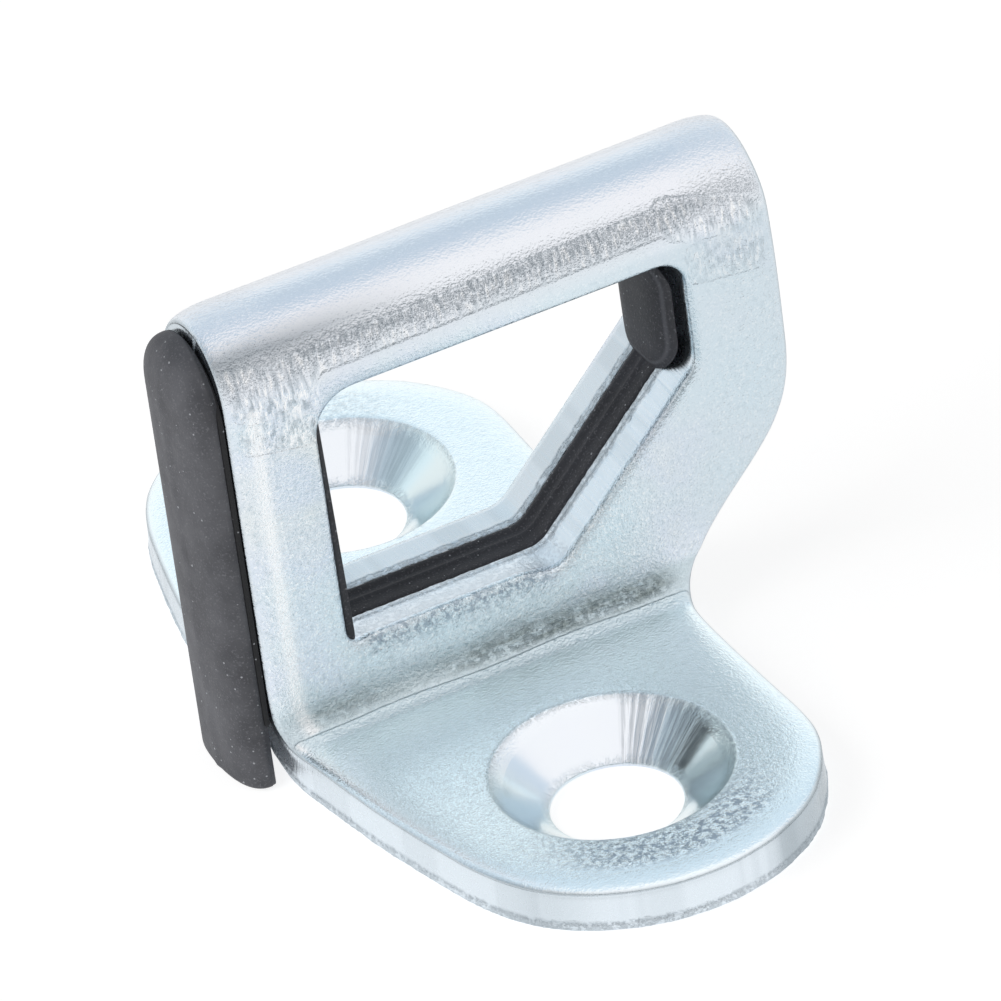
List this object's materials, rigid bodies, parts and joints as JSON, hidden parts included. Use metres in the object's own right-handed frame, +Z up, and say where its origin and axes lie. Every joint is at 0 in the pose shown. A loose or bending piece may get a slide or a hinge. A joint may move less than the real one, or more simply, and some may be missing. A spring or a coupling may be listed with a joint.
{
  "type": "car door latch striker",
  "caption": "Folded steel door striker with a five-sided claw window, outward screw feet with countersunk holes, and a black rubber bumper insert.",
  "frame": {"origin": "on the mounting face, midway between the centres of the two screw holes", "axes": "+X along the fold towards the sloped end with the bumper pad, Y across the leaves towards the two feet, +Z up from the mounting face to the fold"},
  "size_m": [0.0436, 0.0688, 0.035],
  "materials": {
    "zinc_plated_steel": "zinc plated with a pale blue passivation, satin, with blanked edges",
    "black_rubber": "matt moulded rubber, slightly dusty"
  },
  "bodies": {
    "root": {"striker_plate": "zinc_plated_steel", "rubber_insert": "black_rubber"}
  },
  "joints": []
}
